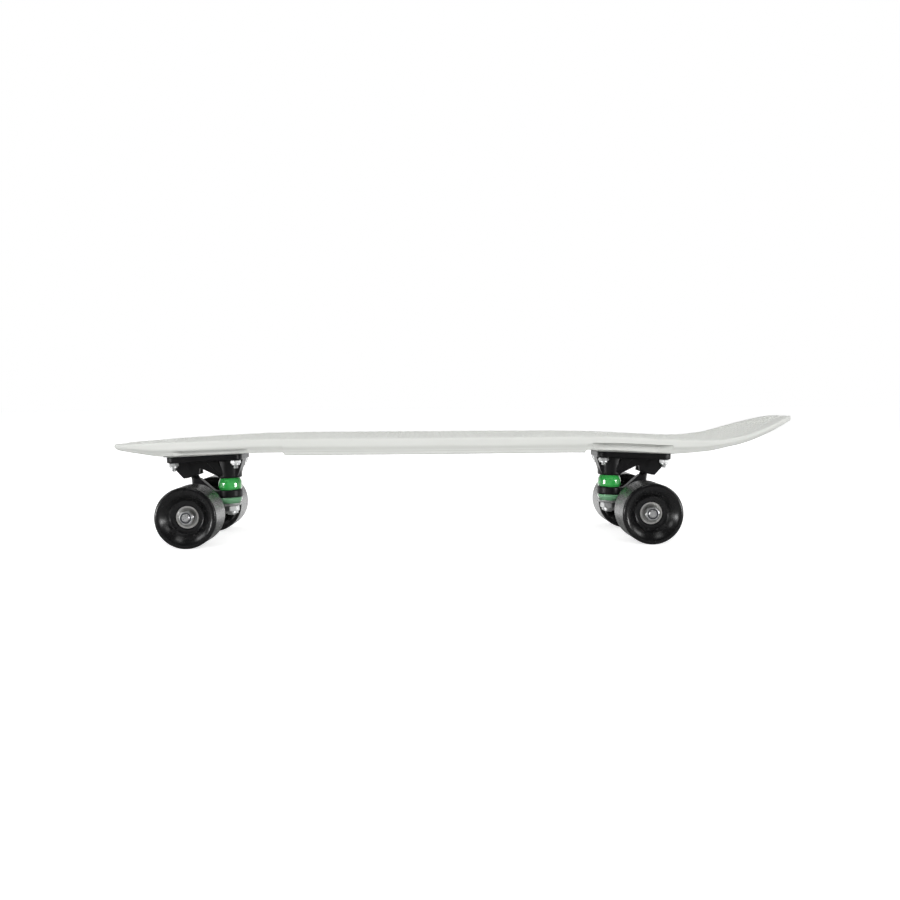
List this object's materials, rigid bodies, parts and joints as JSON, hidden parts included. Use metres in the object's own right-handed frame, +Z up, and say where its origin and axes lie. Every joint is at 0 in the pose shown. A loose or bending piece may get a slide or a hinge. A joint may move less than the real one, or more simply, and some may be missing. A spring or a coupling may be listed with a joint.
{
  "type": "cruiser skateboard",
  "caption": "Short moulded plastic skateboard with a rounded nose, an upturned kicktail, kingpin trucks that steer on urethane bushings, and free-rolling wheels.",
  "frame": {"origin": "on the ground under the middle of the board's length and width, where the wheels stand", "axes": "+X towards the nose, +Y to the rider's left when facing the nose, +Z up"},
  "size_m": [0.711, 0.19, 0.1249],
  "materials": {
    "white_deck_plastic": "satin moulded",
    "black_painted_metal": "satin black paint on cast aluminium",
    "black_wheel_urethane": "glossy faces, ground matte tread",
    "black_pivot_plastic": "matte",
    "green_bushing_urethane": "glossy, slightly translucent",
    "pale_green_bushing_urethane": "glossy, slightly translucent",
    "zinc_plated_steel": "bright zinc",
    "plain_steel": "turned",
    "bearing_shield_steel": "ground and pressed"
  },
  "bodies": {
    "board": {"deck": "white_deck_plastic", "front_baseplate": "black_painted_metal", "front_pivot_cup": "black_pivot_plastic", "front_kingpin": "zinc_plated_steel", "front_kingpin_nut": "zinc_plated_steel", "front_top_washer": "zinc_plated_steel", "front_top_bushing": "green_bushing_urethane", "front_bottom_bushing": "pale_green_bushing_urethane", "front_bottom_washer": "zinc_plated_steel", "front_deck_bolt_1": "zinc_plated_steel", "front_deck_bolt_2": "zinc_plated_steel", "front_deck_bolt_3": "zinc_plated_steel", "front_deck_bolt_4": "zinc_plated_steel", "front_deck_nut_1": "zinc_plated_steel", "front_deck_nut_2": "zinc_plated_steel", "front_deck_nut_3": "zinc_plated_steel", "front_deck_nut_4": "zinc_plated_steel", "rear_baseplate": "black_painted_metal", "rear_pivot_cup": "black_pivot_plastic", "rear_kingpin": "zinc_plated_steel", "rear_kingpin_nut": "zinc_plated_steel", "rear_top_washer": "zinc_plated_steel", "rear_top_bushing": "green_bushing_urethane", "rear_bottom_bushing": "pale_green_bushing_urethane", "rear_bottom_washer": "zinc_plated_steel", "rear_deck_bolt_1": "zinc_plated_steel", "rear_deck_bolt_2": "zinc_plated_steel", "rear_deck_bolt_3": "zinc_plated_steel", "rear_deck_bolt_4": "zinc_plated_steel", "rear_deck_nut_1": "zinc_plated_steel", "rear_deck_nut_2": "zinc_plated_steel", "rear_deck_nut_3": "zinc_plated_steel", "rear_deck_nut_4": "zinc_plated_steel"},
    "front_truck": {"front_hanger": "black_painted_metal", "front_axle": "plain_steel", "front_left_spacer_stack": "plain_steel", "front_left_axle_nut": "zinc_plated_steel", "front_right_spacer_stack": "plain_steel", "front_right_axle_nut": "zinc_plated_steel"},
    "rear_truck": {"rear_hanger": "black_painted_metal", "rear_axle": "plain_steel", "rear_left_spacer_stack": "plain_steel", "rear_left_axle_nut": "zinc_plated_steel", "rear_right_spacer_stack": "plain_steel", "rear_right_axle_nut": "zinc_plated_steel"},
    "front_left_roller": {"front_left_wheel": "black_wheel_urethane", "front_left_outer_bearing": "bearing_shield_steel", "front_left_inner_bearing": "bearing_shield_steel"},
    "front_right_roller": {"front_right_wheel": "black_wheel_urethane", "front_right_outer_bearing": "bearing_shield_steel", "front_right_inner_bearing": "bearing_shield_steel"},
    "rear_left_roller": {"rear_left_wheel": "black_wheel_urethane", "rear_left_outer_bearing": "bearing_shield_steel", "rear_left_inner_bearing": "bearing_shield_steel"},
    "rear_right_roller": {"rear_right_wheel": "black_wheel_urethane", "rear_right_outer_bearing": "bearing_shield_steel", "rear_right_inner_bearing": "bearing_shield_steel"}
  },
  "joints": [
    {"name": "front_steer", "type": "hinge", "parent": "board", "child": "front_truck", "pos_m": [0.23666, 0, 0.04608], "axis": [0.8566, 0, 0.516], "range_deg": [-20, 20], "stiffness_Nm_per_rad": 35, "deforming": ["front_top_bushing", "front_bottom_bushing"]},
    {"name": "rear_steer", "type": "hinge", "parent": "board", "child": "rear_truck", "pos_m": [-0.16266, 0, 0.04608], "axis": [-0.8566, 0, 0.516], "range_deg": [-20, 20], "stiffness_Nm_per_rad": 35, "deforming": ["rear_top_bushing", "rear_bottom_bushing"]},
    {"name": "front_left_spin", "type": "hinge", "parent": "front_truck", "child": "front_left_roller", "pos_m": [0.264, 0.0638, 0.03], "axis": [0, 1, 0], "continuous": true},
    {"name": "front_right_spin", "type": "hinge", "parent": "front_truck", "child": "front_right_roller", "pos_m": [0.264, -0.0638, 0.03], "axis": [0, 1, 0], "continuous": true},
    {"name": "rear_left_spin", "type": "hinge", "parent": "rear_truck", "child": "rear_left_roller", "pos_m": [-0.19, 0.0638, 0.03], "axis": [0, 1, 0], "continuous": true},
    {"name": "rear_right_spin", "type": "hinge", "parent": "rear_truck", "child": "rear_right_roller", "pos_m": [-0.19, -0.0638, 0.03], "axis": [0, 1, 0], "continuous": true}
  ]
}
